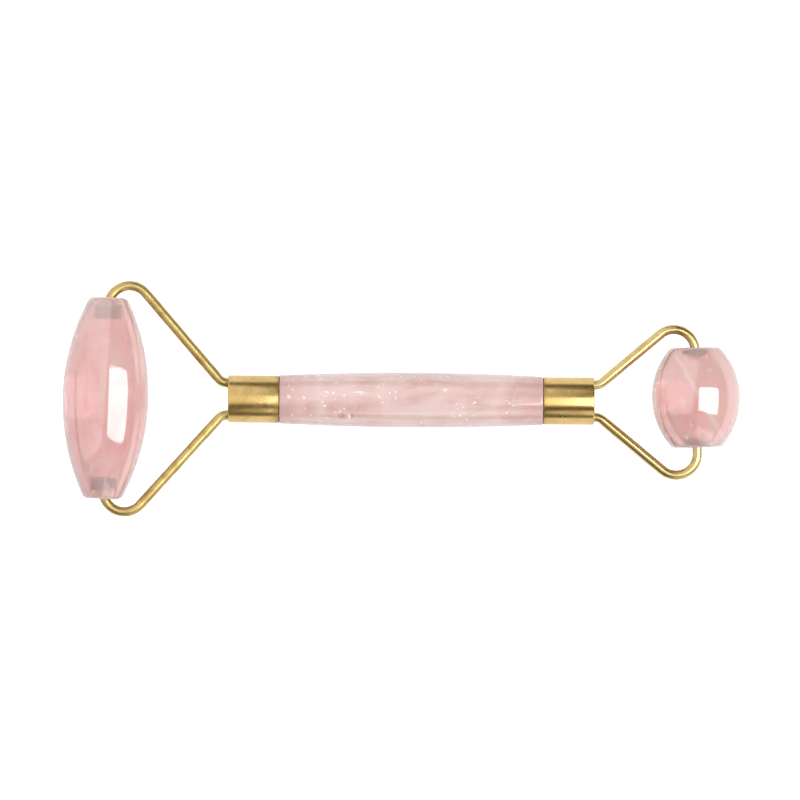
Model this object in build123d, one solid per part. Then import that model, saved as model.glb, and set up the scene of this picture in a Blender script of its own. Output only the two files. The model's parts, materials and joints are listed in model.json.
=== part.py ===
from build123d import *
import os
from dataclasses import dataclass
from math import asin, atan2, cos, degrees, hypot, radians, sin, sqrt

# A face roller of polished rose quartz and brass. A stone handle rod carries a brass ferrule
# at each end, and each ferrule holds a yoke bent from one length of wire. The yokes' tips run
# in bushes inside a large and a small barrel-shaped stone, which turn freely on them.
#
# Millimetres. X runs along the handle, with the large roller towards -X. Y runs along the
# rollers, and left means +Y. Z is up. The origin is under the middle of the overall length,
# on the surface that the rollers rest on.

# Large roller stone
large_stone_length = 41.6
large_stone_diameter = 17.8
large_stone_end_diameter = 7.7
large_rim_radius = 1.3

# Small roller stone
small_stone_length = 20.7
small_stone_diameter = 18.25
small_stone_end_diameter = 10.2
small_rim_radius = 1.5

# Handle rod, between its two shoulders
handle_length = 54.4
handle_middle_diameter = 11.4
handle_end_diameter = 10.0
handle_rim_radius = 0.3
tenon_chamfer = 0.3

# Ferrules: brass cups, closed at the outer end, with two holes for the yoke's legs
ferrule_length = 10.45
ferrule_diameter = 9.8
ferrule_wall = 0.45
ferrule_end_thickness = 0.8
ferrule_edge_radius = 0.35
ferrule_mouth_chamfer = 0.12

# Yokes: bend radii are those of the wire's centreline
wire_diameter = 2.05
wire_tip_chamfer = 0.25
shoulder_radius = 4.4
neck_radius = 2.6
neck_straight = 0.1
hairpin_bridge = 1.9
hairpin_leg = 0.5
large_gap = 16.4
small_gap = 11.925
large_bend_depth = 1.85
small_bend_depth = -0.3
# The yokes are bent by hand, so each roller's left end leans towards the handle, in degrees
large_lean = 1.3
small_lean = 1.6
# The small stone lies slid to the left, where its bush meets the start of the wire's bend
small_slide = 0.9

# Bushes: short brass sleeves bonded into a blind bore in each end of a roller
bush_wall = 0.65
bush_length = 2.8
bush_chamfer = 0.15
bore_mouth_chamfer = 0.25

# Clearances
running_clearance = 0.04
end_play = 0.4
tip_room = 0.3
hole_clearance = 0.05
leg_clearance = 0.1

# Epoxy: round the hairpin, between stone and metal, and showing as a line at each shoulder
glue_gap = 0.1
glue_line = 0.15
glue_line_setback = 0.1
potting_cover = 0.3

# Sizes that follow
wire_radius = wire_diameter / 2
ferrule_bore = ferrule_diameter - 2 * ferrule_wall
leg_offset = ferrule_bore / 2 - wire_radius - leg_clearance
hairpin_radius = leg_offset - hairpin_bridge / 2
potting_depth = hairpin_leg + hairpin_radius + wire_radius + potting_cover
tenon_diameter = ferrule_bore - 2 * glue_gap
tenon_length = glue_line + ferrule_length - ferrule_end_thickness - potting_depth - glue_gap
bush_bore = wire_diameter + 2 * running_clearance
bush_diameter = bush_bore + 2 * bush_wall
stone_bore = bush_diameter + 2 * glue_gap
wire_tail = end_play + bush_length - tip_room

axis_height = max(large_stone_diameter, small_stone_diameter) / 2
handle_assembly_length = handle_length + 2 * (glue_line + ferrule_length)
overall_length = (
    large_stone_diameter + large_gap + handle_assembly_length + small_gap + small_stone_diameter
)


@dataclass
class End:
    """What differs between the two ends. outward is the sign of X on the end's side."""

    name: str
    outward: int
    stone_length: float
    stone_diameter: float
    stone_end_diameter: float
    rim_radius: float
    gap: float
    bend_depth: float
    lean: float
    slide: float = 0.0

    @property
    def axis_x(self):
        """Where the roller's axis crosses the handle's."""
        return self.outward * (overall_length - self.stone_diameter) / 2

    @property
    def reach(self):
        """From the ferrule's closed face out to the roller's axis."""
        return self.gap + self.stone_diameter / 2

    @property
    def face_x(self):
        """The ferrule's closed face."""
        return self.axis_x - self.outward * self.reach

    @property
    def bush_recess(self):
        """From the stone's flat end in to the bush's outer face."""
        return self.bend_depth + end_play

    @property
    def bore_depth(self):
        """From the stone's flat end in to the bottom of its bore, with room for a tip that has slid in."""
        return self.bush_recess + bush_length + self.slide

    @property
    def ferrule_plane(self):
        """On the ferrule's closed face, with its Z pointing outward along the handle."""
        origin = (self.face_x, 0, axis_height)
        return Plane(origin=origin, x_dir=(0, 1, 0), z_dir=(self.outward, 0, 0))

    @property
    def yoke_plane(self):
        """On the ferrule's closed face, with its X pointing outward and its Y to the left."""
        origin = (self.face_x, 0, axis_height)
        return Plane(origin=origin, x_dir=(self.outward, 0, 0), z_dir=(0, 0, self.outward))

    @property
    def roller_plane(self):
        """Midway between the arms of the yoke, with its Z along the roller's axis, to the left."""
        lean = radians(self.lean)
        origin = (self.axis_x, 0, axis_height)
        x_dir = (cos(lean), self.outward * sin(lean), 0)
        z_dir = (-self.outward * sin(lean), cos(lean), 0)
        return Plane(origin=origin, x_dir=x_dir, z_dir=z_dir)

    @property
    def stone_plane(self):
        """In the middle of the stone, where it lies along the roller's axis."""
        return self.roller_plane.offset(self.slide)


large_end = End(
    name="large",
    outward=-1,
    stone_length=large_stone_length,
    stone_diameter=large_stone_diameter,
    stone_end_diameter=large_stone_end_diameter,
    rim_radius=large_rim_radius,
    gap=large_gap,
    bend_depth=large_bend_depth,
    lean=large_lean,
)
small_end = End(
    name="small",
    outward=1,
    stone_length=small_stone_length,
    stone_diameter=small_stone_diameter,
    stone_end_diameter=small_stone_end_diameter,
    rim_radius=small_rim_radius,
    gap=small_gap,
    bend_depth=small_bend_depth,
    lean=small_lean,
    slide=small_slide,
)


def rod(diameter, bottom, top):
    """A solid cylinder about Z between two heights."""
    return Pos(0, 0, bottom) * extrude(Circle(diameter / 2), top - bottom)


def barrel(length, middle_diameter, end_diameter, rim_radius):
    """A barrel about Z, centred on the origin, with flat ends and rounded rims."""
    half = length / 2
    rim = end_diameter / 2
    flank = ThreePointArc((rim, -half), (middle_diameter / 2, 0), (rim, half))
    core = Polyline((rim, half), (0, half), (0, -half), (rim, -half))
    solid = revolve(Plane.XZ * make_face(flank + core), Axis.Z)
    return fillet(solid.faces().filter_by(Axis.Z).edges(), rim_radius)


def bent_path(start, heading, moves):
    """A flat path of straight runs (length, 0) and tangent bends (radius, turn in degrees)."""
    path = Curve()
    point = Vector(*start)
    direction = Vector(1, 0).rotate(Axis.Z, heading)
    for size, turn in moves:
        if turn:
            step = JernArc(point, direction, size, turn)
        else:
            step = Line(point, point + direction * size)
        path += step
        point = step @ 1
        direction = step % 1
    return path


def yoke_half_path(end, side):
    """From the middle of the hairpin to one tip, in the yoke plane. side is 1 for left, else -1."""
    lean = side * radians(end.lean)
    # The shoulder bend starts out tangent to the roller's axis, a little inside the stone's end
    bend_start = end.stone_length / 2 - end.bend_depth
    shoulder_x = end.reach - bend_start * sin(lean) - shoulder_radius * cos(lean)
    shoulder_y = bend_start * cos(lean) - shoulder_radius * sin(lean)
    # The slanting run is the line that touches both the neck bend and the shoulder bend
    across = shoulder_x - neck_straight
    up = shoulder_y - leg_offset - neck_radius
    both_radii = neck_radius + shoulder_radius
    slant = atan2(up, across) + asin(both_radii / hypot(across, up))
    slant_length = sqrt(across**2 + up**2 - both_radii**2)
    leg_length = hairpin_leg + ferrule_end_thickness + neck_straight
    moves = [
        (hairpin_bridge / 2, 0),
        (hairpin_radius, -90 * side),
        (leg_length, 0),
        (neck_radius, degrees(slant) * side),
        (slant_length, 0),
        (shoulder_radius, -(90 + degrees(slant - lean)) * side),
        (wire_tail, 0),
    ]
    return bent_path((neck_straight - leg_length - hairpin_radius, 0), 90 * side, moves)


def yoke_half(end, side):
    """One arm of a yoke wire, with its tip chamfered."""
    path = yoke_half_path(end, side)
    arm = sweep((path ^ 0) * Circle(wire_radius), path)
    tip = arm.faces().sort_by_distance(path @ 1)[0]
    return chamfer(tip.edges(), wire_tip_chamfer)


def yoke_wire(end):
    """The whole yoke: two arms joined at the hairpin that is potted inside the ferrule."""
    return end.yoke_plane * (yoke_half(end, 1) + yoke_half(end, -1))


def ferrule(end):
    """A cup over the end of the handle rod."""
    outside = rod(ferrule_diameter, -ferrule_length, 0)
    outside = fillet(outside.faces().sort_by(Axis.Z)[-1].edges(), ferrule_edge_radius)
    outside = chamfer(outside.faces().sort_by(Axis.Z)[0].edges(), ferrule_mouth_chamfer)
    cup = outside - rod(ferrule_bore, -ferrule_length, -ferrule_end_thickness)
    hole = rod(wire_diameter + 2 * hole_clearance, -ferrule_end_thickness, 0)
    for side in (1, -1):
        cup -= Pos(side * leg_offset, 0, 0) * hole
    return end.ferrule_plane * cup


def potting(end, wire):
    """The epoxy plug that fills the closed end of a ferrule round the wire's hairpin."""
    top = -ferrule_end_thickness
    return end.ferrule_plane * rod(ferrule_bore, top - potting_depth, top) - wire


def handle_bond(end, stone):
    """The epoxy film round and under a tenon, with the line that shows at the shoulder."""
    film_top = -ferrule_end_thickness - potting_depth
    film = rod(ferrule_bore, -ferrule_length, film_top)
    line_diameter = ferrule_diameter - 2 * glue_line_setback
    line = rod(line_diameter, -ferrule_length - glue_line, -ferrule_length)
    return end.ferrule_plane * (film + line) - stone


def handle_stone():
    """The handle rod, with a tenon at each end that the ferrules slide over."""
    stone = barrel(handle_length, handle_middle_diameter, handle_end_diameter, handle_rim_radius)
    tenon = rod(tenon_diameter, 0, handle_length / 2 + tenon_length)
    tenon = chamfer(tenon.faces().sort_by(Axis.Z)[-1].edges(), tenon_chamfer)
    stone += tenon
    stone += Rot(180, 0, 0) * tenon
    middle_x = (large_end.face_x + small_end.face_x) / 2
    return Plane(origin=(middle_x, 0, axis_height), z_dir=(1, 0, 0)) * stone


def roller_stone(end):
    """A barrel with a blind bore in each end that holds a bush."""
    stone = barrel(end.stone_length, end.stone_diameter, end.stone_end_diameter, end.rim_radius)
    face = end.stone_length / 2
    bore = rod(stone_bore, face - end.bore_depth, face)
    mouth_diameter = stone_bore + 2 * bore_mouth_chamfer
    cone = Cone(stone_bore / 2, mouth_diameter / 2, bore_mouth_chamfer)
    bore += Pos(0, 0, face - bore_mouth_chamfer / 2) * cone
    for turn in (0, 180):
        stone -= Rot(turn, 0, 0) * bore
    return end.stone_plane * stone


def sleeve(end, side, outer_diameter, inner_diameter, edge_chamfer=0):
    """A tube in a roller's bore. side is 1 for the left end, -1 for the right."""
    outer_face = end.stone_length / 2 - end.bush_recess
    tube = rod(outer_diameter, outer_face - bush_length, outer_face)
    tube -= rod(inner_diameter, outer_face - bush_length, outer_face)
    if edge_chamfer:
        tube = chamfer(tube.faces().sort_by(Axis.Z)[-1].edges(), edge_chamfer)
    return end.stone_plane * Rot(90 - 90 * side, 0, 0) * tube


def build():
    """Every piece of the roller, by the name of its node."""
    stone = handle_stone()
    pieces = {"handle_stone": stone}
    for end in (large_end, small_end):
        wire = yoke_wire(end)
        pieces[f"{end.name}_ferrule"] = ferrule(end)
        pieces[f"{end.name}_yoke_wire"] = wire
        pieces[f"{end.name}_yoke_potting"] = potting(end, wire)
        pieces[f"{end.name}_ferrule_bond"] = handle_bond(end, stone)
        pieces[f"{end.name}_roller_stone"] = roller_stone(end)
        for hand, side in (("left", 1), ("right", -1)):
            bush = sleeve(end, side, bush_diameter, bush_bore, bush_chamfer)
            pieces[f"{end.name}_roller_{hand}_bush"] = bush
            bond = sleeve(end, side, stone_bore, bush_diameter)
            pieces[f"{end.name}_roller_{hand}_bush_bond"] = bond
    return pieces


os.makedirs("parts", exist_ok=True)
for name, piece in build().items():
    export_step(piece, f"parts/{name}.step")
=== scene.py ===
import json
from math import asin, atan2, cos, hypot, pi, radians, sin, sqrt, tan

import bmesh
import bpy
from mathutils import Matrix, Vector, noise
from mathutils.geometry import tessellate_polygon


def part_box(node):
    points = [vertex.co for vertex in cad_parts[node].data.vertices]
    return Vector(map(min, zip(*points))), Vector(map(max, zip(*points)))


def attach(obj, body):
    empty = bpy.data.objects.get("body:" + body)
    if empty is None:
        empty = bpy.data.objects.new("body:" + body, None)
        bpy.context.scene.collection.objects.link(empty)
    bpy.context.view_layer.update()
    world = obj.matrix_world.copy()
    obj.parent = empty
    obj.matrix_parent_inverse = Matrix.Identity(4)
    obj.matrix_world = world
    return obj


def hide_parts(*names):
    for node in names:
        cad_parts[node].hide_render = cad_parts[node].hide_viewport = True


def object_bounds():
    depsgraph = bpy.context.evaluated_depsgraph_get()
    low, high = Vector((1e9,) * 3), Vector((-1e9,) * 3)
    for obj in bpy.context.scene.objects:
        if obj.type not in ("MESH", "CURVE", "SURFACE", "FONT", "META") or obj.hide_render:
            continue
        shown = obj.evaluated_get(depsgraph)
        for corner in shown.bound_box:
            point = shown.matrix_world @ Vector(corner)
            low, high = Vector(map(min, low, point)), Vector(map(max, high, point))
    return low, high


# A face roller in polished rose quartz and unlacquered brass, seen from straight above.
# Sizes are in millimetres and multiplied by MM where a mesh is placed, in metres.

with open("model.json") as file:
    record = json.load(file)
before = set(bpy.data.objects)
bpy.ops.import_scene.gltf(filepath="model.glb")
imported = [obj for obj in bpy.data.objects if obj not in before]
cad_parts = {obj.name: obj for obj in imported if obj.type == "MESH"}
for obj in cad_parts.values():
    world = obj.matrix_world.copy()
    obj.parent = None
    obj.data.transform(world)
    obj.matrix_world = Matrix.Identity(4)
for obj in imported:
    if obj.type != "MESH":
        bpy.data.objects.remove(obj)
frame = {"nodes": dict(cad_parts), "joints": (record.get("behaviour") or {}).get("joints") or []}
cad_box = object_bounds()
MM = 0.001

# ---------------------------------------------------------------- sizes

ROLLERS = {
    "large": {
        "length": 41.6, "middle": 17.8, "end": 7.7, "rim": 1.3,
        "bend_depth": 1.85, "lean": 1.3, "slide": 0.0,
    },
    "small": {
        "length": 20.7, "middle": 18.25, "end": 10.2, "rim": 1.5,
        "bend_depth": -0.3, "lean": 1.6, "slide": 0.9,
    },
}
OUTWARD = {"large": -1, "small": 1}

HANDLE_LENGTH = 54.4
HANDLE_MIDDLE = 11.4
HANDLE_END = 10.0
HANDLE_RIM = 0.3

FERRULE_LENGTH = 10.45
FERRULE_DIAMETER = 9.8
FERRULE_BORE = 8.9
FERRULE_END = 0.8
FERRULE_EDGE = 0.35
MOUTH_EDGE = 0.1

WIRE_RADIUS = 1.025
TIP_CHAMFER = 0.25
SHOULDER_RADIUS = 4.4
NECK_RADIUS = 2.6
NECK_STRAIGHT = 0.1
HAIRPIN_BRIDGE = 1.9
HAIRPIN_LEG = 0.5
LEG_OFFSET = 3.325
WIRE_TAIL = 2.9
HOLE_RADIUS = 1.075
HOLE_SIDES = 32

# A hair under the outside of the glue round the bushes, so that both show through the clear stone
STONE_BORE = 3.59
BORE_CHAMFER = 0.25
BUSH_LENGTH = 2.8
END_PLAY = 0.4
TENON = 8.7
GLUE_LINE = 0.15
GLUE_SETBACK = 0.1

# ---------------------------------------------------------------- places, read from the frame

handle_low, handle_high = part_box("handle_stone")
AXIS_HEIGHT = (handle_low.z + handle_high.z) / 2
HANDLE_MIDDLE_X = (handle_low.x + handle_high.x) / 2
TENON_REACH = (handle_high.x - handle_low.x) / 2 / MM
SPINS = {joint["child"]: joint for joint in frame["joints"]}


def ferrule_face_x(end):
    """The closed face of a ferrule."""
    low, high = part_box(f"{end}_ferrule")
    return low.x if OUTWARD[end] < 0 else high.x


def axes(origin, x_axis, z_axis):
    """A placing matrix in the frame, with its X and Z along the axes given."""
    x_axis, z_axis = Vector(x_axis).normalized(), Vector(z_axis).normalized()
    turn = Matrix((x_axis, z_axis.cross(x_axis), z_axis)).transposed().to_4x4()
    return Matrix.Translation(origin) @ turn


def along_handle(x, outward=1):
    """Local Z points along the handle's axis from the given X."""
    return axes((x, 0, AXIS_HEIGHT), (0, 1, 0), (outward, 0, 0))


def in_yoke_plane(end):
    """Local X points outward from the ferrule's closed face, and local Y to the left."""
    outward = OUTWARD[end]
    return axes((ferrule_face_x(end), 0, AXIS_HEIGHT), (outward, 0, 0), (0, 0, outward))


def on_roller_axis(end):
    """Local Z runs along the roller's axis, from the middle of its stone where it has slid to."""
    spin = SPINS[f"{end}_roller"]
    axis = Vector(spin["axis"])
    middle = Vector(spin["pos_m"]) + axis * ROLLERS[end]["slide"] * MM
    return axes(middle, axis.cross((0, 0, 1)), axis)


# ---------------------------------------------------------------- outlines

def arc(centre, radius, start, stop, steps):
    """Points (radius, height) on an arc between two angles, both ends included."""
    points = []
    for k in range(steps + 1):
        angle = start + (stop - start) * k / steps
        points.append((centre[0] + radius * cos(angle), centre[1] + radius * sin(angle)))
    return points


def eased(corners, steps=4):
    """An outline of (radius, height, easing) corners with each corner rounded by its easing."""
    points = []
    for k, (x, y, easing) in enumerate(corners):
        if not easing:
            points.append((x, y))
            continue
        here = Vector((x, y))
        back = (Vector(corners[k - 1][:2]) - here).normalized()
        ahead = (Vector(corners[k + 1][:2]) - here).normalized()
        half_angle = back.angle(ahead) / 2
        centre = here + (back + ahead).normalized() * easing / sin(half_angle)
        first = here + back * easing / tan(half_angle) - centre
        last = here + ahead * easing / tan(half_angle) - centre
        sweep = first.angle_signed(last)
        for step in range(steps + 1):
            turned = first @ Matrix.Rotation(sweep * step / steps, 2)
            points.append(tuple(centre + turned))
    return points


def barrel_half(length, middle, end, rim, steps):
    """The flank of a barrel from its end face down to its waist, with the rim rounded."""
    half = length / 2
    rise = (middle - end) / 2
    flank_radius = (half**2 + rise**2) / (2 * rise)
    flank_centre = middle / 2 - flank_radius
    rim_height = half - rim
    rim_centre = flank_centre + sqrt((flank_radius - rim) ** 2 - rim_height**2)
    meet = atan2(rim_height, rim_centre - flank_centre)
    rounding = arc((rim_centre, rim_height), rim, pi / 2, meet, 8)
    flank = arc((flank_centre, 0), flank_radius, meet, 0, steps)
    return rounding + flank[1:]


def mirrored(upper):
    """An outline and its mirror image below the waist."""
    return upper + [(radius, -height) for radius, height in reversed(upper[:-1])]


# ---------------------------------------------------------------- meshes

def lathe(outline, segments):
    """Turns an outline of (radius, height) points round Z into a mesh. Points on the axis are poles."""
    mesh = bmesh.new()
    rings = []
    for radius, height in outline:
        if radius < 1e-6:
            rings.append([mesh.verts.new((0, 0, height))])
            continue
        ring = []
        for k in range(segments):
            angle = 2 * pi * k / segments
            ring.append(mesh.verts.new((radius * cos(angle), radius * sin(angle), height)))
        rings.append(ring)
    for lower, upper in zip(rings, rings[1:]):
        skin(mesh, lower, upper, segments)
    bmesh.ops.recalc_face_normals(mesh, faces=mesh.faces)
    return mesh


def skin(mesh, lower, upper, segments):
    """Faces between two rings. A ring of one vertex is a pole."""
    for k in range(segments):
        corners = [
            lower[k % len(lower)],
            lower[(k + 1) % len(lower)],
            upper[(k + 1) % len(upper)],
            upper[k % len(upper)],
        ]
        mesh.faces.new(list(dict.fromkeys(corners)))


def bent_path(start, heading, moves, run_step=1.2, turn_step=radians(5)):
    """Stations (point, heading, curvature) along straight runs (length, 0) and bends (radius, turn)."""
    stations = [(Vector(start), heading, 0.0)]
    for size, turn in moves:
        point, heading, _ = stations[-1]
        if turn:
            side = 1 if turn > 0 else -1
            centre = point + size * side * Vector((-sin(heading), cos(heading)))
            steps = max(2, round(abs(turn) / turn_step))
            for k in range(1, steps + 1):
                angle = heading + turn * k / steps
                out = Vector((sin(angle), -cos(angle))) * size * side
                stations.append((centre + out, angle, side / size))
        else:
            steps = max(1, round(size / run_step))
            ahead = Vector((cos(heading), sin(heading)))
            for k in range(1, steps + 1):
                stations.append((point + ahead * size * k / steps, heading, 0.0))
    return stations


def yoke_arm(end, side):
    """Stations from the middle of the hairpin to one tip, in the yoke's plane. side is 1 for left."""
    roller = ROLLERS[end]
    lean = side * radians(roller["lean"])
    spin = SPINS[f"{end}_roller"]
    reach = abs(spin["pos_m"][0] - ferrule_face_x(end)) / MM
    bend_start = roller["length"] / 2 - roller["bend_depth"]
    shoulder_x = reach - bend_start * sin(lean) - SHOULDER_RADIUS * cos(lean)
    shoulder_y = bend_start * cos(lean) - SHOULDER_RADIUS * sin(lean)
    across = shoulder_x - NECK_STRAIGHT
    up = shoulder_y - LEG_OFFSET - NECK_RADIUS
    both_radii = NECK_RADIUS + SHOULDER_RADIUS
    slant = atan2(up, across) + asin(both_radii / hypot(across, up))
    slant_length = sqrt(across**2 + up**2 - both_radii**2)
    hairpin_radius = LEG_OFFSET - HAIRPIN_BRIDGE / 2
    leg_length = HAIRPIN_LEG + FERRULE_END + NECK_STRAIGHT
    moves = [
        (HAIRPIN_BRIDGE / 2, 0),
        (hairpin_radius, -pi / 2 * side),
        (leg_length, 0),
        (NECK_RADIUS, slant * side),
        (slant_length, 0),
        (SHOULDER_RADIUS, -(pi / 2 + slant - lean) * side),
        (WIRE_TAIL, 0),
    ]
    return bent_path((NECK_STRAIGHT - leg_length - hairpin_radius, 0), pi / 2 * side, moves)


def wire(stations, sides=32):
    """A round wire swept along flat stations. Each bend squeezes it a little, as real wire does."""
    mesh = bmesh.new()
    mapped = mesh.verts.layers.float_vector.new("own_mm")
    rings = []
    along = 0.0
    last = stations[0][0]
    for point, heading, curvature in tipped(stations):
        shrink = 1.0
        if isinstance(curvature, str):
            shrink, curvature = 1 - TIP_CHAMFER / WIRE_RADIUS, 0.0
        along += (point - last).length
        last = point
        squeeze = 0.1 * WIRE_RADIUS * abs(curvature)
        wide = WIRE_RADIUS * shrink * (1 - squeeze)
        tall = WIRE_RADIUS * shrink * (1 + squeeze / 3)
        sideways = Vector((-sin(heading), cos(heading)))
        ring = []
        for k in range(sides):
            angle = 2 * pi * k / sides
            flat = point + sideways * wide * cos(angle)
            vertex = mesh.verts.new((flat.x, flat.y, tall * sin(angle)))
            vertex[mapped] = (along, WIRE_RADIUS * cos(angle), WIRE_RADIUS * sin(angle))
            ring.append(vertex)
        rings.append(ring)
    for lower, upper in zip(rings, rings[1:]):
        skin(mesh, lower, upper, sides)
    for ring in (rings[0], rings[-1]):
        mesh.faces.new(ring)
    bmesh.ops.recalc_face_normals(mesh, faces=mesh.faces)
    return mesh


def tipped(stations):
    """The stations with a smaller ring at each end, for the chamfer at the wire's tips."""
    first, last = stations[0], stations[-1]
    inset = [(first[0], first[1], "tip"), (first[0] + heading_vector(first[1]) * TIP_CHAMFER, first[1], 0.0)]
    outset = [(last[0] - heading_vector(last[1]) * TIP_CHAMFER, last[1], 0.0), (last[0], last[1], "tip")]
    return inset + stations[1:-1] + outset


def heading_vector(heading):
    return Vector((cos(heading), sin(heading)))


def wobble(mesh, amount, size, chosen=lambda co: True, seed=0.0):
    """Moves vertices in and out from Z by a smooth noise, as hand grinding leaves a stone."""
    for vertex in mesh.verts:
        if not chosen(vertex.co):
            continue
        out = Vector((vertex.co.x, vertex.co.y, 0))
        if out.length < 1e-6:
            continue
        spot = vertex.co / size + Vector((seed, 2 * seed, -seed))
        vertex.co += out.normalized() * amount * noise.noise(spot)


def chip_rim(mesh, height, depth, seed):
    """Small shallow chips along a rim at a height above or below the waist."""
    for vertex in mesh.verts:
        near = 1 - min(1, abs(abs(vertex.co.z) - height) / 0.5)
        if near <= 0:
            continue
        spot = Vector((vertex.co.x, vertex.co.y, vertex.co.z)) * 1.7 + Vector((seed, 0, seed))
        chip = max(0, noise.noise(spot) - 0.32) * near
        out = Vector((vertex.co.x, vertex.co.y, 0))
        if out.length > 1e-6:
            vertex.co -= out.normalized() * chip * depth


def remember_place(mesh):
    """Keeps each vertex's place in the piece's own millimetres, for its material's grain."""
    mapped = mesh.verts.layers.float_vector.new("own_mm")
    for vertex in mesh.verts:
        vertex[mapped] = vertex.co


def piece(name, mesh, place, material, body, nodes, crease=radians(40)):
    """Makes the object, smooth but for its creases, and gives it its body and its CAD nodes."""
    if "own_mm" not in mesh.verts.layers.float_vector:
        remember_place(mesh)
    bmesh.ops.scale(mesh, vec=(MM, MM, MM), verts=mesh.verts)
    data = bpy.data.meshes.new(name)
    mesh.to_mesh(data)
    mesh.free()
    data.polygons.foreach_set("use_smooth", [True] * len(data.polygons))
    data.set_sharp_from_angle(angle=crease)
    data.materials.append(material)
    made = bpy.data.objects.new(name, data)
    made.matrix_world = place
    bpy.context.scene.collection.objects.link(made)
    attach(made, body)
    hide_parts(*nodes)
    return made


# ---------------------------------------------------------------- material helpers

def srgb(red, green, blue):
    """A colour given as 0 to 255 values, as a painter reads it, in linear light."""
    linear = []
    for value in (red, green, blue):
        value /= 255
        linear.append(value / 12.92 if value <= 0.04045 else ((value + 0.055) / 1.055) ** 2.4)
    return (*linear, 1.0)


def add(tree, kind, inputs=None, **settings):
    """A node with its settings, and with its sockets either linked or set."""
    made = tree.nodes.new(kind)
    for name, value in settings.items():
        setattr(made, name, value)
    for name, value in (inputs or {}).items():
        if isinstance(value, bpy.types.NodeSocket):
            tree.links.new(value, made.inputs[name])
        else:
            made.inputs[name].default_value = value
    return made


def maths(tree, operation, first, second=0.0, clamp=False):
    node = add(tree, "ShaderNodeMath", {0: first, 1: second}, operation=operation, use_clamp=clamp)
    return node.outputs[0]


def remap(tree, value, low, high, to_low=0.0, to_high=1.0):
    """A value's range carried to another, held at both ends."""
    inputs = {"Value": value, "From Min": low, "From Max": high, "To Min": to_low, "To Max": to_high}
    return add(tree, "ShaderNodeMapRange", inputs, clamp=True).outputs["Result"]


def mix_colour(tree, factor, first, second):
    node = tree.nodes.new("ShaderNodeMix")
    node.data_type = "RGBA"
    for index, value in ((0, factor), (6, first), (7, second)):
        if isinstance(value, bpy.types.NodeSocket):
            tree.links.new(value, node.inputs[index])
        else:
            node.inputs[index].default_value = value
    return node.outputs[2]


def stretched(tree, position, stretch):
    """A position with each axis scaled by its own factor."""
    return add(tree, "ShaderNodeVectorMath", {0: position, 1: stretch}, operation="MULTIPLY").outputs[0]


def shifted(tree, position, shift):
    return add(tree, "ShaderNodeVectorMath", {0: position, 1: shift}, operation="ADD").outputs[0]


def noise_at(tree, position, scale, detail=2.0, roughness=0.5, distortion=0.0):
    inputs = {
        "Vector": position,
        "Scale": scale,
        "Detail": detail,
        "Roughness": roughness,
        "Distortion": distortion,
    }
    return add(tree, "ShaderNodeTexNoise", inputs).outputs["Fac"]


def noise_vector(tree, position, scale):
    """Three soft noises at once, centred on nothing."""
    colour = add(tree, "ShaderNodeTexNoise", {"Vector": position, "Scale": scale, "Detail": 2.0})
    return shifted(tree, colour.outputs["Color"], (-0.5, -0.5, -0.5))


SOCKET_KINDS = {
    "value": "NodeSocketFloat",
    "vector": "NodeSocketVector",
    "colour": "NodeSocketColor",
}


def new_group(name, takes, gives):
    """An empty node group with its sockets, its input node's outputs and its output node."""
    tree = bpy.data.node_groups.new(name, "ShaderNodeTree")
    for socket, (kind, default) in takes.items():
        made = tree.interface.new_socket(socket, in_out="INPUT", socket_type=SOCKET_KINDS[kind])
        made.default_value = default
    for socket, kind in gives.items():
        tree.interface.new_socket(socket, in_out="OUTPUT", socket_type=SOCKET_KINDS[kind])
    start = tree.nodes.new("NodeGroupInput")
    end = tree.nodes.new("NodeGroupOutput")
    return tree, start.outputs, end.inputs


def placed(tree, group, **inputs):
    """A group in a material, with its sockets linked or set. An underscore stands for a space."""
    node = tree.nodes.new("ShaderNodeGroup")
    node.node_tree = group
    for name, value in inputs.items():
        socket = node.inputs[name.replace("_", " ")]
        if isinstance(value, bpy.types.NodeSocket):
            tree.links.new(value, socket)
        else:
            socket.default_value = value
    return node.outputs


# ---------------------------------------------------------------- shared effects

def make_fine_lines():
    """Fine parallel scratches or draw marks: a height and a mask of the deeper ones."""
    tree, takes, gives = new_group(
        "fine lines",
        {"Position": ("vector", (0, 0, 0)), "Stretch": ("vector", (1, 1, 1)), "Depth": ("value", 1.0)},
        {"Height": "value", "Deep": "value"},
    )
    lengthened = stretched(tree, takes["Position"], takes["Stretch"])
    fine = noise_at(tree, lengthened, 1.0, 4.0, 0.65)
    coarse = noise_at(tree, shifted(tree, lengthened, (7.3, 1.1, 4.2)), 0.31, 2.0)
    both = maths(tree, "ADD", maths(tree, "MULTIPLY", fine, 0.6), maths(tree, "MULTIPLY", coarse, 0.4))
    tree.links.new(maths(tree, "MULTIPLY", both, takes["Depth"]), gives["Height"])
    tree.links.new(remap(tree, both, 0.52, 0.66), gives["Deep"])
    return tree


def make_smudges():
    """Handling marks: a soft patchy value between 0 and 1."""
    tree, takes, gives = new_group(
        "smudges",
        {"Position": ("vector", (0, 0, 0)), "Size": ("value", 4.0)},
        {"Patches": "value", "Specks": "value"},
    )
    scale = maths(tree, "DIVIDE", 1.0, takes["Size"])
    soft = noise_at(tree, takes["Position"], scale, 3.0, 0.55, 0.6)
    tree.links.new(remap(tree, soft, 0.38, 0.68), gives["Patches"])
    fine_scale = maths(tree, "MULTIPLY", scale, 9.0)
    fine = noise_at(tree, shifted(tree, takes["Position"], (3.1, 8.2, 5.7)), fine_scale, 1.0)
    tree.links.new(remap(tree, fine, 0.64, 0.74), gives["Specks"])
    return tree


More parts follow.
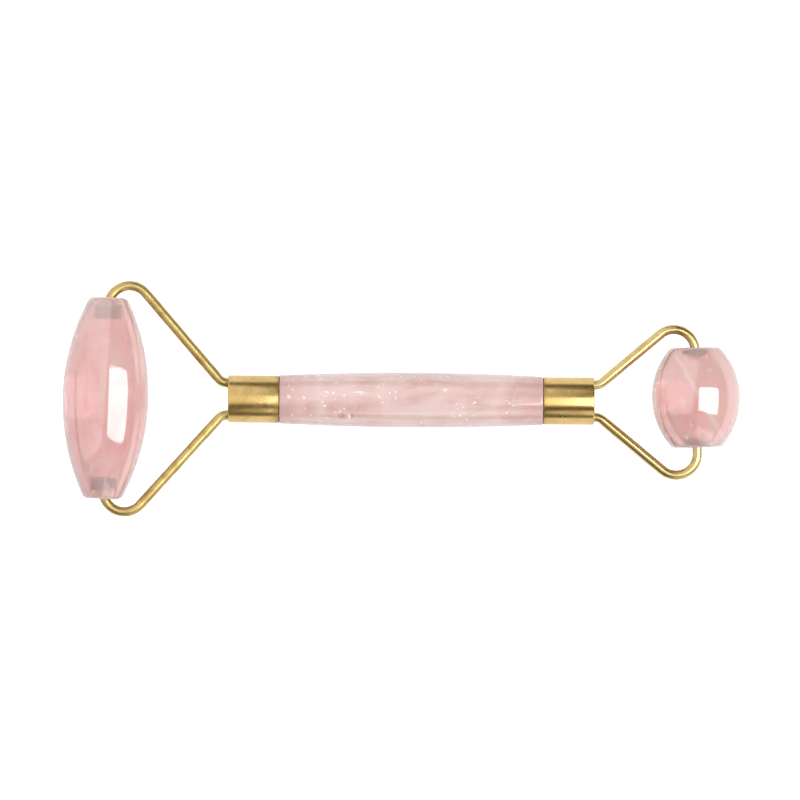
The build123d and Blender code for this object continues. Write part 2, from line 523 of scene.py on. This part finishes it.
def make_quartz_body():
    """Rose quartz: cloudy pink with pale veils, lengthwise bands and small bright flecks."""
    tree, takes, gives = new_group(
        "quartz body",
        {
            "Position": ("vector", (0, 0, 0)),
            "Pink": ("colour", srgb(240, 196, 194)),
            "Pale": ("colour", srgb(248, 221, 217)),
            "Deep": ("colour", srgb(233, 179, 176)),
            "Cloud size": ("value", 9.0),
            "Band strength": ("value", 0.3),
            "Veil strength": ("value", 0.4),
            "Fleck stretch": ("vector", (1.3, 1.3, 1.3)),
            "Fleck share": ("value", 0.1),
        },
        {"Colour": "colour", "Flecks": "value"},
    )
    position = takes["Position"]
    scale = maths(tree, "DIVIDE", 1.0, takes["Cloud size"])
    clouds = noise_at(tree, position, scale, 3.0, 0.5, 0.8)
    depths = noise_at(tree, shifted(tree, position, (21.0, 4.0, 13.0)), scale, 2.0, 0.5, 0.4)
    colour = mix_colour(tree, remap(tree, clouds, 0.36, 0.66), takes["Pink"], takes["Pale"])
    colour = mix_colour(tree, remap(tree, depths, 0.5, 0.78, 0.0, 0.6), colour, takes["Deep"])

    # Bands run the length of the piece, as the crystal grew
    lengthwise = stretched(tree, shifted(tree, position, (3.0, 9.0, 1.0)), (0.42, 0.42, 0.045))
    bands = remap(tree, noise_at(tree, lengthwise, 1.0, 3.0, 0.55), 0.45, 0.62)
    colour = mix_colour(tree, maths(tree, "MULTIPLY", bands, takes["Band strength"]), colour, takes["Pale"])

    # Pale veils are thin sheets, where a slanted noise passes through its middle value
    slanted = stretched(tree, shifted(tree, position, (5.0, 5.0, 0.0)), (0.09, 0.22, 0.05))
    sheet = noise_at(tree, slanted, 1.0, 3.0, 0.6, 1.2)
    off_middle = maths(tree, "ABSOLUTE", maths(tree, "SUBTRACT", sheet, 0.5))
    veil = maths(tree, "MULTIPLY", remap(tree, off_middle, 0.0, 0.05, 1.0, 0.0), takes["Veil strength"])
    colour = mix_colour(tree, veil, colour, takes["Pale"])

    # Flecks are tiny healed breaks that catch the light; only a share of the cells has one
    ruffled = add(
        tree,
        "ShaderNodeVectorMath",
        {0: position, 1: stretched(tree, noise_vector(tree, position, 0.9), (0.9, 0.9, 0.9))},
        operation="ADD",
    ).outputs[0]
    spread = add(
        tree, "ShaderNodeVectorMath", {0: ruffled, 1: takes["Fleck stretch"]}, operation="MULTIPLY"
    ).outputs[0]
    cells = add(tree, "ShaderNodeTexVoronoi", {"Vector": spread, "Scale": 1.0, "Randomness": 1.0})
    chosen = add(tree, "ShaderNodeSeparateXYZ", {0: cells.outputs["Color"]}).outputs["X"]
    has_one = maths(tree, "LESS_THAN", chosen, takes["Fleck share"])
    drift = remap(tree, noise_at(tree, shifted(tree, position, (0.0, 11.0, 40.0)), 0.14, 2.0), 0.45, 0.56)
    fleck = maths(tree, "MULTIPLY", remap(tree, cells.outputs["Distance"], 0.12, 0.42, 1.0, 0.0), has_one)
    fleck = maths(tree, "MULTIPLY", maths(tree, "MULTIPLY", fleck, drift), 0.7)
    colour = mix_colour(tree, fleck, colour, srgb(252, 240, 236))
    tree.links.new(colour, gives["Colour"])
    tree.links.new(fleck, gives["Flecks"])
    return tree


def make_inclusion():
    """One ragged pale fleck inside the stone, at a place and with half sizes in millimetres."""
    tree, takes, gives = new_group(
        "inclusion",
        {"Position": ("vector", (0, 0, 0)), "Place": ("vector", (0, 0, 0)), "Reach": ("vector", (1, 1, 1))},
        {"Mask": "value"},
    )
    ragged = stretched(tree, noise_vector(tree, takes["Position"], 1.6), (1.0, 1.0, 1.0))
    moved = add(tree, "ShaderNodeVectorMath", {0: takes["Position"], 1: ragged}, operation="ADD").outputs[0]
    away = add(tree, "ShaderNodeVectorMath", {0: moved, 1: takes["Place"]}, operation="SUBTRACT").outputs[0]
    share = add(tree, "ShaderNodeVectorMath", {0: away, 1: takes["Reach"]}, operation="DIVIDE").outputs[0]
    distance = add(tree, "ShaderNodeVectorMath", {0: share}, operation="LENGTH").outputs["Value"]
    tree.links.new(remap(tree, distance, 0.35, 1.0, 1.0, 0.0), gives["Mask"])
    return tree


def make_vein():
    """A sheet through the stone: a pale line on it, and paler stone on one side."""
    tree, takes, gives = new_group(
        "vein",
        {"Position": ("vector", (0, 0, 0)), "Facing": ("vector", (1, 0, 0)), "Offset": ("value", 0.0)},
        {"Line": "value", "Side": "value"},
    )
    uneven = stretched(tree, noise_vector(tree, takes["Position"], 0.3), (1.3, 1.3, 1.3))
    moved = add(tree, "ShaderNodeVectorMath", {0: takes["Position"], 1: uneven}, operation="ADD").outputs[0]
    across = add(
        tree, "ShaderNodeVectorMath", {0: moved, 1: takes["Facing"]}, operation="DOT_PRODUCT"
    ).outputs["Value"]
    beyond = maths(tree, "SUBTRACT", across, takes["Offset"])
    tree.links.new(remap(tree, maths(tree, "ABSOLUTE", beyond), 0.0, 0.7, 1.0, 0.0), gives["Line"])
    tree.links.new(remap(tree, beyond, -0.2, 0.5), gives["Side"])
    return tree


def make_brass_tone():
    """Unlacquered brass: clean metal, a warmer brown film in patches and in what lies sheltered."""
    tree, takes, gives = new_group(
        "brass tone",
        {
            "Position": ("vector", (0, 0, 0)),
            "Clean": ("colour", srgb(214, 184, 122)),
            "Film": ("colour", srgb(158, 128, 62)),
            "Sheltered": ("value", 0.0),
            "Film amount": ("value", 0.35),
            "Patch size": ("value", 3.0),
        },
        {"Colour": "colour", "Film": "value"},
    )
    scale = maths(tree, "DIVIDE", 1.0, takes["Patch size"])
    patches = remap(tree, noise_at(tree, takes["Position"], scale, 4.0, 0.6, 0.5), 0.42, 0.75)
    film = maths(tree, "MULTIPLY", patches, takes["Film amount"])
    film = maths(tree, "ADD", film, takes["Sheltered"], clamp=True)
    tree.links.new(mix_colour(tree, film, takes["Clean"], takes["Film"]), gives["Colour"])
    tree.links.new(film, gives["Film"])
    return tree


FINE_LINES = make_fine_lines()
SMUDGES = make_smudges()
QUARTZ_BODY = make_quartz_body()
INCLUSION = make_inclusion()
VEIN = make_vein()
BRASS_TONE = make_brass_tone()

# ---------------------------------------------------------------- materials


def new_material(name):
    """A material with its shader, and the piece's own position in millimetres."""
    made = bpy.data.materials.new(name)
    made.use_nodes = True
    tree = made.node_tree
    shader = tree.nodes["Principled BSDF"]
    return made, tree, shader


def own_position(tree):
    """Where a point lies in a piece made here, in that piece's own millimetres."""
    return add(tree, "ShaderNodeAttribute", attribute_name="own_mm").outputs["Vector"]


def frame_position(tree):
    """Where a point of a CAD node lies in the frame, in millimetres."""
    place = add(tree, "ShaderNodeTexCoord").outputs["Object"]
    return stretched(tree, place, (1 / MM, 1 / MM, 1 / MM))


def bump(tree, shader, height, strength, distance):
    inputs = {"Height": height, "Strength": strength, "Distance": distance}
    normal = add(tree, "ShaderNodeBump", inputs).outputs["Normal"]
    tree.links.new(normal, shader.inputs["Normal"])


def axial_height(tree, position):
    """How far a point lies along the piece's own axis, either way from its middle."""
    split = add(tree, "ShaderNodeSeparateXYZ", {0: position})
    return maths(tree, "ABSOLUTE", split.outputs["Z"])


def rose_quartz(name, seed, half_length, ends, rough, clear, coat, flecks=(), bruises=(), vein=None, **body):
    """Polished rose quartz. ends is where its painted end shading starts, as a share, its strength and its
    colour.

    flecks and bruises are (place, half sizes) and vein is (facing, offset), in the piece's own millimetres.
    """
    made, tree, shader = new_material(name)
    own = own_position(tree)
    position = shifted(tree, own, seed)
    stone = placed(tree, QUARTZ_BODY, Position=position, **body)
    height = axial_height(tree, own)
    # Painted end shading: a pale colour paints light onto a roller's ends, and a dark one paints shade onto
    # the handle's ends by the ferrules.
    start, strength, painted_end_shading = ends
    painted_end_shading_share = remap(tree, height, half_length * start, half_length, 0.0, strength)
    colour = mix_colour(tree, painted_end_shading_share, stone["Colour"], painted_end_shading)
    if vein:
        sheet = placed(tree, VEIN, Position=own, Facing=vein[0], Offset=vein[1])
        colour = mix_colour(tree, maths(tree, "MULTIPLY", sheet["Side"], 0.8), colour, srgb(246, 216, 211))
        colour = mix_colour(tree, maths(tree, "MULTIPLY", sheet["Line"], 0.8), colour, srgb(255, 240, 236))
    for spots, share, paint in ((bruises, 0.6, srgb(176, 126, 128)), (flecks, 0.8, srgb(252, 240, 236))):
        for place, reach in spots:
            spot = placed(tree, INCLUSION, Position=own, Place=place, Reach=reach)["Mask"]
            colour = mix_colour(tree, maths(tree, "MULTIPLY", spot, share), colour, paint)
    marks = placed(tree, SMUDGES, Position=position, Size=5.0)
    gloss = remap(tree, marks["Patches"], 0.0, 1.0, rough, rough + 0.05)
    gloss = maths(tree, "ADD", gloss, maths(tree, "MULTIPLY", stone["Flecks"], 0.15))
    tree.links.new(colour, shader.inputs["Base Color"])
    tree.links.new(gloss, shader.inputs["Roughness"])
    swell = noise_at(tree, position, 0.22, 2.0)
    pits = maths(tree, "MULTIPLY", marks["Specks"], -0.02)
    bump(tree, shader, maths(tree, "ADD", maths(tree, "MULTIPLY", swell, 0.25), pits), 0.6, 0.4 * MM)
    shader.inputs["IOR"].default_value = 1.54
    shader.inputs["Subsurface Weight"].default_value = 0.75
    shader.inputs["Subsurface Radius"].default_value = (1.0, 0.55, 0.5)
    shader.inputs["Subsurface Scale"].default_value = 3.0 * MM
    shader.inputs["Transmission Weight"].default_value = clear
    shader.inputs["Coat Weight"].default_value = coat
    shader.inputs["Coat IOR"].default_value = 1.6
    shader.inputs["Coat Roughness"].default_value = 0.02
    output = next(node for node in tree.nodes if node.type == "OUTPUT_MATERIAL")
    depth_tint = add(tree, "ShaderNodeVolumeAbsorption", {"Color": srgb(244, 184, 182), "Density": 45.0})
    tree.links.new(depth_tint.outputs[0], output.inputs["Volume"])
    return made


def brass(name, stretch, rough, depth, film_amount, shelter=None, turned=0.0, cad=False, **tones):
    """Satin brass with fine lines one way and a thin brown film. turned is how far gloss is drawn out."""
    made, tree, shader = new_material(name)
    position = frame_position(tree) if cad else own_position(tree)
    lines = placed(tree, FINE_LINES, Position=position, Stretch=stretch, Depth=1.0)
    sheltered = shelter(tree, position) if shelter else 0.0
    tones["Film_amount"] = film_amount
    tone = placed(tree, BRASS_TONE, Position=position, Sheltered=sheltered, **tones)
    marks = placed(tree, SMUDGES, Position=position, Size=3.0)
    scratched = maths(tree, "MULTIPLY", lines["Deep"], 0.2)
    colour = mix_colour(tree, scratched, tone["Colour"], srgb(236, 212, 156))
    tree.links.new(colour, shader.inputs["Base Color"])
    gloss = remap(tree, marks["Patches"], 0.0, 1.0, rough, rough + 0.06)
    gloss = maths(tree, "ADD", gloss, maths(tree, "MULTIPLY", tone["Film"], 0.1))
    tree.links.new(gloss, shader.inputs["Roughness"])
    bump(tree, shader, lines["Height"], 0.5, depth * MM)
    shader.inputs["Metallic"].default_value = 1.0
    if turned:
        shader.inputs["Anisotropic"].default_value = turned
        shader.inputs["Anisotropic Rotation"].default_value = 0.25
        around = add(tree, "ShaderNodeTangent", direction_type="RADIAL", axis="Z")
        tree.links.new(around.outputs[0], shader.inputs["Tangent"])
    return made


def by_ferrule_edges(tree, position):
    """Film gathers on a ferrule beside the stone."""
    split = add(tree, "ShaderNodeSeparateXYZ", {0: position})
    return remap(tree, split.outputs["Z"], -FERRULE_LENGTH, 0.8 - FERRULE_LENGTH, 0.5, 0.0)


def epoxy(name, pale, dark, cad=False):
    """Cured adhesive, brown where it has taken up polishing dirt."""
    made, tree, shader = new_material(name)
    position = frame_position(tree) if cad else own_position(tree)
    dirt = placed(tree, SMUDGES, Position=position, Size=0.8)
    colour = mix_colour(tree, dirt["Patches"], pale, dark)
    tree.links.new(colour, shader.inputs["Base Color"])
    tree.links.new(remap(tree, dirt["Specks"], 0.0, 1.0, 0.3, 0.6), shader.inputs["Roughness"])
    bump(tree, shader, dirt["Patches"], 0.4, 0.03 * MM)
    return made


LARGE_QUARTZ = rose_quartz(
    "rose quartz of the large roller",
    seed=(0, 0, 0),
    half_length=20.8,
    # Painted light: the roller's ends are paled towards its rims.
    ends=(0.25, 0.45, srgb(250, 220, 218)),
    rough=0.04,
    clear=0.6,
    coat=1.0,
    flecks=[((-2.3, -6, -14.4), (0.35, 5, 1.3)), ((-2.3, -4, -20.0), (0.3, 5, 0.6))],
    Band_strength=0.45,
    Fleck_stretch=(1.1, 1.1, 0.35),
    Fleck_share=0.03,
)
SMALL_QUARTZ = rose_quartz(
    "rose quartz of the small roller",
    seed=(40, 10, 25),
    half_length=10.35,
    # Painted light: the roller's ends are paled towards its rims.
    ends=(0.25, 0.35, srgb(250, 216, 213)),
    rough=0.04,
    clear=0.6,
    coat=1.0,
    flecks=[
        ((-1.4, -6, -5.6), (0.3, 5, 1.3)),
        ((-2.2, -5, -8.1), (0.45, 5, 0.9)),
        ((2.7, -5, 5.4), (0.7, 5, 0.8)),
    ],
    vein=((0.876, 0, 0.483), 0.5),
    Veil_strength=0.7,
    Fleck_stretch=(1.2, 1.2, 0.5),
    Fleck_share=0.06,
)
HANDLE_QUARTZ = rose_quartz(
    "rose quartz of the handle",
    seed=(80, 33, 7),
    half_length=27.2,
    # Painted shade: the handle is darkened towards its ends at the ferrules.
    ends=(0.7, 0.5, srgb(196, 142, 138)),
    rough=0.2,
    clear=0.2,
    coat=0.6,
    flecks=[
        ((0.5, 5, -25.2), (0.3, 4, 0.4)),
        ((0.4, 5, -22.2), (0.6, 4, 0.3)),
        ((1.6, 5, -17.4), (0.3, 4, 0.7)),
        ((1.5, 5, -10.8), (0.3, 4, 1.8)),
        ((0.4, 5, -3.2), (0.4, 4, 0.35)),
        ((2.1, 5, 7.0), (0.5, 4, 0.5)),
        ((-3.6, 4, -12.7), (0.6, 4, 0.4)),
    ],
    bruises=[((-3.3, 4, -14.3), (0.8, 4, 1.1)), ((-3.3, 4, -12.2), (0.8, 4, 0.35))],
    Pink=srgb(213, 181, 178),
    Pale=srgb(227, 206, 202),
    Deep=srgb(203, 160, 157),
    Cloud_size=7.0,
    Band_strength=0.7,
    Fleck_stretch=(1.5, 1.5, 1.2),
    Fleck_share=0.3,
)
TURNED = (0.05, 0.05, 9.0)
DRAWN = (0.12, 5.0, 5.0)
FERRULE_BRASS = {
    "large": brass("turned brass, worn", TURNED, 0.26, 0.012, 0.65, by_ferrule_edges, turned=0.3),
    "small": brass("turned brass, bright", TURNED, 0.26, 0.008, 0.35, by_ferrule_edges, turned=0.8),
}
WIRE_BRASS = {
    "large": brass("drawn brass wire, dull", DRAWN, 0.34, 0.01, 0.8, Clean=srgb(204, 184, 124)),
    "small": brass("drawn brass wire, bright", DRAWN, 0.26, 0.01, 0.4, Clean=srgb(212, 192, 136)),
}
BUSH_BRASS = brass("brass of the bushes", (2.0, 2.0, 2.0), 0.35, 0.01, 0.8, cad=True)
GLUE = epoxy("cured glue", srgb(120, 86, 72), srgb(72, 48, 38))
HIDDEN_GLUE = epoxy("cured glue inside", srgb(92, 58, 56), srgb(58, 34, 34), cad=True)

# ---------------------------------------------------------------- pieces


def roller_stone(end, material, seed):
    """A barrel with a blind bore in each end, ground and polished by hand."""
    size = ROLLERS[end]
    half = size["length"] / 2
    bore = STONE_BORE / 2
    bottom = half - size["bend_depth"] - END_PLAY - BUSH_LENGTH - size["slide"]
    flank = barrel_half(size["length"], size["middle"], size["end"], size["rim"], 60)
    mouth = [(0, bottom), (bore, bottom), (bore, half - BORE_CHAMFER), (bore + BORE_CHAMFER, half)]
    mesh = lathe(mirrored(mouth + flank), 160)
    remember_place(mesh)
    wobble(mesh, 0.07, 9.0, lambda co: hypot(co.x, co.y) > bore + 0.6, seed)
    chip_rim(mesh, half - 0.3, 0.25, seed)
    body = f"{end}_roller"
    name = f"{end}_polished_stone"
    return piece(name, mesh, on_roller_axis(end), material, body, [f"{end}_roller_stone"])


def handle_rod():
    """The rod with its tenons. Its shoulders show a few chips where it was cut to length."""
    half = HANDLE_LENGTH / 2
    flank = barrel_half(HANDLE_LENGTH, HANDLE_MIDDLE, HANDLE_END, HANDLE_RIM, 90)
    tenon = TENON / 2
    reach = TENON_REACH
    upper = [(0, reach), (tenon - 0.3, reach), (tenon, reach - 0.3), (tenon, half)] + flank
    mesh = lathe(mirrored(upper), 144)
    remember_place(mesh)
    wobble(mesh, 0.04, 8.0, lambda co: hypot(co.x, co.y) > tenon + 0.1, 4.0)
    chip_rim(mesh, half - 0.15, 0.35, 2.0)
    place = along_handle(HANDLE_MIDDLE_X)
    return piece("handle_rod", mesh, place, HANDLE_QUARTZ, "handle", ["handle_stone"])


def is_at(vertex, radius):
    return abs(hypot(vertex.co.x, vertex.co.y) - radius) < 1e-5


def holed_plate(mesh, ring, height, holes):
    """Fills a flat ring but for round holes, and returns the rings of the holes."""
    loops = [sorted(ring, key=lambda vertex: atan2(vertex.co.y, vertex.co.x))]
    for centre in holes:
        loop = []
        for k in range(HOLE_SIDES):
            angle = 2 * pi * k / HOLE_SIDES
            spot = (centre + HOLE_RADIUS * cos(angle), HOLE_RADIUS * sin(angle), height)
            loop.append(mesh.verts.new(spot))
        loops.append(loop)
    flat = [vertex for loop in loops for vertex in loop]
    for corners in tessellate_polygon([[vertex.co for vertex in loop] for loop in loops]):
        mesh.faces.new([flat[k] for k in corners])
    return loops[1:]


def ferrule_cup(end):
    """A turned cup. The legs of the yoke go in through two holes in its closed end."""
    outer = FERRULE_DIAMETER / 2
    bore = FERRULE_BORE / 2
    plate_edge = outer - FERRULE_EDGE - 0.05
    corners = [
        (bore, -FERRULE_END, 0),
        (bore, -FERRULE_LENGTH, 0.04),
        (outer, -FERRULE_LENGTH, MOUTH_EDGE),
        (outer, 0, FERRULE_EDGE),
        (plate_edge, 0, 0),
    ]
    mesh = lathe(eased(corners, 5), 128)
    legs = (-LEG_OFFSET, LEG_OFFSET)
    at_bore = [vertex for vertex in mesh.verts if is_at(vertex, bore)]
    inner_edge = [vertex for vertex in at_bore if vertex.co.z > -FERRULE_END - 1e-6]
    outer_edge = [vertex for vertex in mesh.verts if is_at(vertex, plate_edge)]
    inside = holed_plate(mesh, inner_edge, -FERRULE_END, legs)
    outside = holed_plate(mesh, outer_edge, 0.0, legs)
    for lower, upper in zip(inside, outside):
        skin(mesh, lower, upper, HOLE_SIDES)
    bmesh.ops.recalc_face_normals(mesh, faces=mesh.faces)
    place = along_handle(ferrule_face_x(end), OUTWARD[end])
    return piece(f"{end}_ferrule_cup", mesh, place, FERRULE_BRASS[end], "handle", [f"{end}_ferrule"])


def yoke(end):
    """One length of wire: tip, arm, hairpin, arm, tip."""
    left = yoke_arm(end, 1)
    right = yoke_arm(end, -1)
    back = [(point, heading + pi, -curvature) for point, heading, curvature in reversed(right[1:])]
    mesh = wire(back + left)
    nodes = [f"{end}_yoke_wire"]
    return piece(f"{end}_bent_yoke", mesh, in_yoke_plane(end), WIRE_BRASS[end], "handle", nodes)


def glue_ring(end):
    """The film of glue in a ferrule, squeezed out unevenly at the shoulder of the rod."""
    low = -FERRULE_LENGTH
    inner = TENON / 2
    bore = FERRULE_BORE / 2
    outside = FERRULE_DIAMETER / 2 - GLUE_SETBACK
    node_low, node_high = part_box(f"{end}_ferrule_bond")
    depth = (node_high.x - node_low.x) / MM - GLUE_LINE
    outline = [
        (0, low + depth),
        (bore, low + depth),
        (bore, low),
        (outside - 0.05, low),
        (outside, low - GLUE_LINE / 2),
        (outside - 0.05, low - GLUE_LINE),
        (inner, low - GLUE_LINE),
        (inner, low + depth - 0.4),
        (inner - 0.3, low + depth - 0.1),
        (0, low + depth - 0.1),
    ]
    mesh = lathe(outline, 128)
    remember_place(mesh)
    wobble(mesh, 0.08, 0.9, lambda co: hypot(co.x, co.y) > bore + 0.1, 7.0)
    place = along_handle(ferrule_face_x(end), OUTWARD[end])
    return piece(f"{end}_glue_ring", mesh, place, GLUE, "handle", [f"{end}_ferrule_bond"])


handle_rod()
roller_stone("large", LARGE_QUARTZ, 1.0)
roller_stone("small", SMALL_QUARTZ, 5.0)
for end in ("large", "small"):
    ferrule_cup(end)
    yoke(end)
    glue_ring(end)
for name, node in frame["nodes"].items():
    if name.endswith("_bush"):
        node.material_slots[0].material = BUSH_BRASS
    elif name.endswith(("_bush_bond", "_potting")):
        node.material_slots[0].material = HIDDEN_GLUE

# ---------------------------------------------------------------- floor, lights and camera


def make_floor():
    """A plain mid-grey table top that glows by itself, and less on the object than to the eye.

    So it looks white, but the brass mirrors less of it than it would of a white one.
    """
    glow_on_object, glow_to_eye = 0.42, 1.0
    made, tree, shader = new_material("pale table")
    place = add(tree, "ShaderNodeTexCoord").outputs["Object"]
    mottle = noise_at(tree, place, 60.0, 3.0)
    colour = mix_colour(tree, mottle, (0.48, 0.48, 0.48, 1), (0.52, 0.52, 0.52, 1))
    tree.links.new(colour, shader.inputs["Base Color"])
    shader.inputs["Roughness"].default_value = 0.8
    shader.inputs["Emission Color"].default_value = (1, 1, 1, 1)
    seen = add(tree, "ShaderNodeLightPath").outputs["Is Camera Ray"]
    glow = remap(tree, seen, 0.0, 1.0, glow_on_object, glow_to_eye)
    tree.links.new(glow, shader.inputs["Emission Strength"])
    mesh = bmesh.new()
    bmesh.ops.create_grid(mesh, x_segments=8, y_segments=8, size=2.0)
    data = bpy.data.meshes.new("table_top")
    mesh.to_mesh(data)
    mesh.free()
    data.materials.append(made)
    table = bpy.data.objects.new("table_top", data)
    table.location.z = cad_box[0].z
    bpy.context.scene.collection.objects.link(table)


def panel(name, toward, distance, size, radiance, roll=0):
    """A soft rectangular light that faces the roller. toward is its lean to +X and to +Y, in degrees."""
    way = Vector((tan(radians(toward[0])), tan(radians(toward[1])), 1)).normalized()
    side = Vector((0, 1, 0)).cross(way).normalized()
    turn = Matrix((side, way.cross(side), way)).transposed().to_4x4()
    data = bpy.data.lights.new(name, "AREA")
    data.shape = "RECTANGLE"
    data.size, data.size_y = size
    data.energy = radiance * pi * size[0] * size[1]
    light = bpy.data.objects.new(name, data)
    light.matrix_world = Matrix.Translation(way * distance) @ turn @ Matrix.Rotation(radians(roll), 4, "Z")
    bpy.context.scene.collection.objects.link(light)


def make_world():
    """Pale to the eye, soft in the light that it gives, and dim and warm where it is mirrored."""
    world = bpy.data.worlds.new("studio")
    bpy.context.scene.world = world
    world.use_nodes = True
    tree = world.node_tree
    tree.nodes.clear()
    seen = add(tree, "ShaderNodeBackground", {"Color": (0.92, 0.92, 0.92, 1), "Strength": 1.0})
    soft = add(tree, "ShaderNodeBackground", {"Color": (1.0, 0.95, 0.92, 1), "Strength": 0.25})
    mirrored_room = add(tree, "ShaderNodeBackground", {"Color": (1.0, 0.74, 0.38, 1), "Strength": 0.11})
    path = add(tree, "ShaderNodeLightPath")
    lit = add(
        tree,
        "ShaderNodeMixShader",
        {0: path.outputs["Is Glossy Ray"], 1: soft.outputs[0], 2: mirrored_room.outputs[0]},
    )
    mixed = add(
        tree,
        "ShaderNodeMixShader",
        {0: path.outputs["Is Camera Ray"], 1: lit.outputs[0], 2: seen.outputs[0]},
    )
    add(tree, "ShaderNodeOutputWorld", {"Surface": mixed.outputs[0]})


def make_camera():
    """Straight above with a long lens, turned a third of a degree, as the roller lies a little askew."""
    view_width = 0.1652
    data = bpy.data.cameras.new("overhead")
    data.lens = 400
    height = AXIS_HEIGHT + view_width * data.lens / data.sensor_width
    camera = bpy.data.objects.new("overhead", data)
    camera.location = (-0.0003, 0.0, height)
    camera.rotation_euler = (0, 0, radians(0.36))
    bpy.context.scene.collection.objects.link(camera)
    bpy.context.scene.camera = camera


make_floor()
make_world()
make_camera()
panel("key_softbox", (34, -4.5), 1.5, (1.48, 1.02), 5.6, roll=-3)
panel("left_fill", (-44, 28), 0.55, (1.0, 1.2), 1.0)
panel("right_fill", (40, -65), 1.3, (1.2, 0.5), 1.2)
bpy.context.scene.view_settings.view_transform = "Standard"
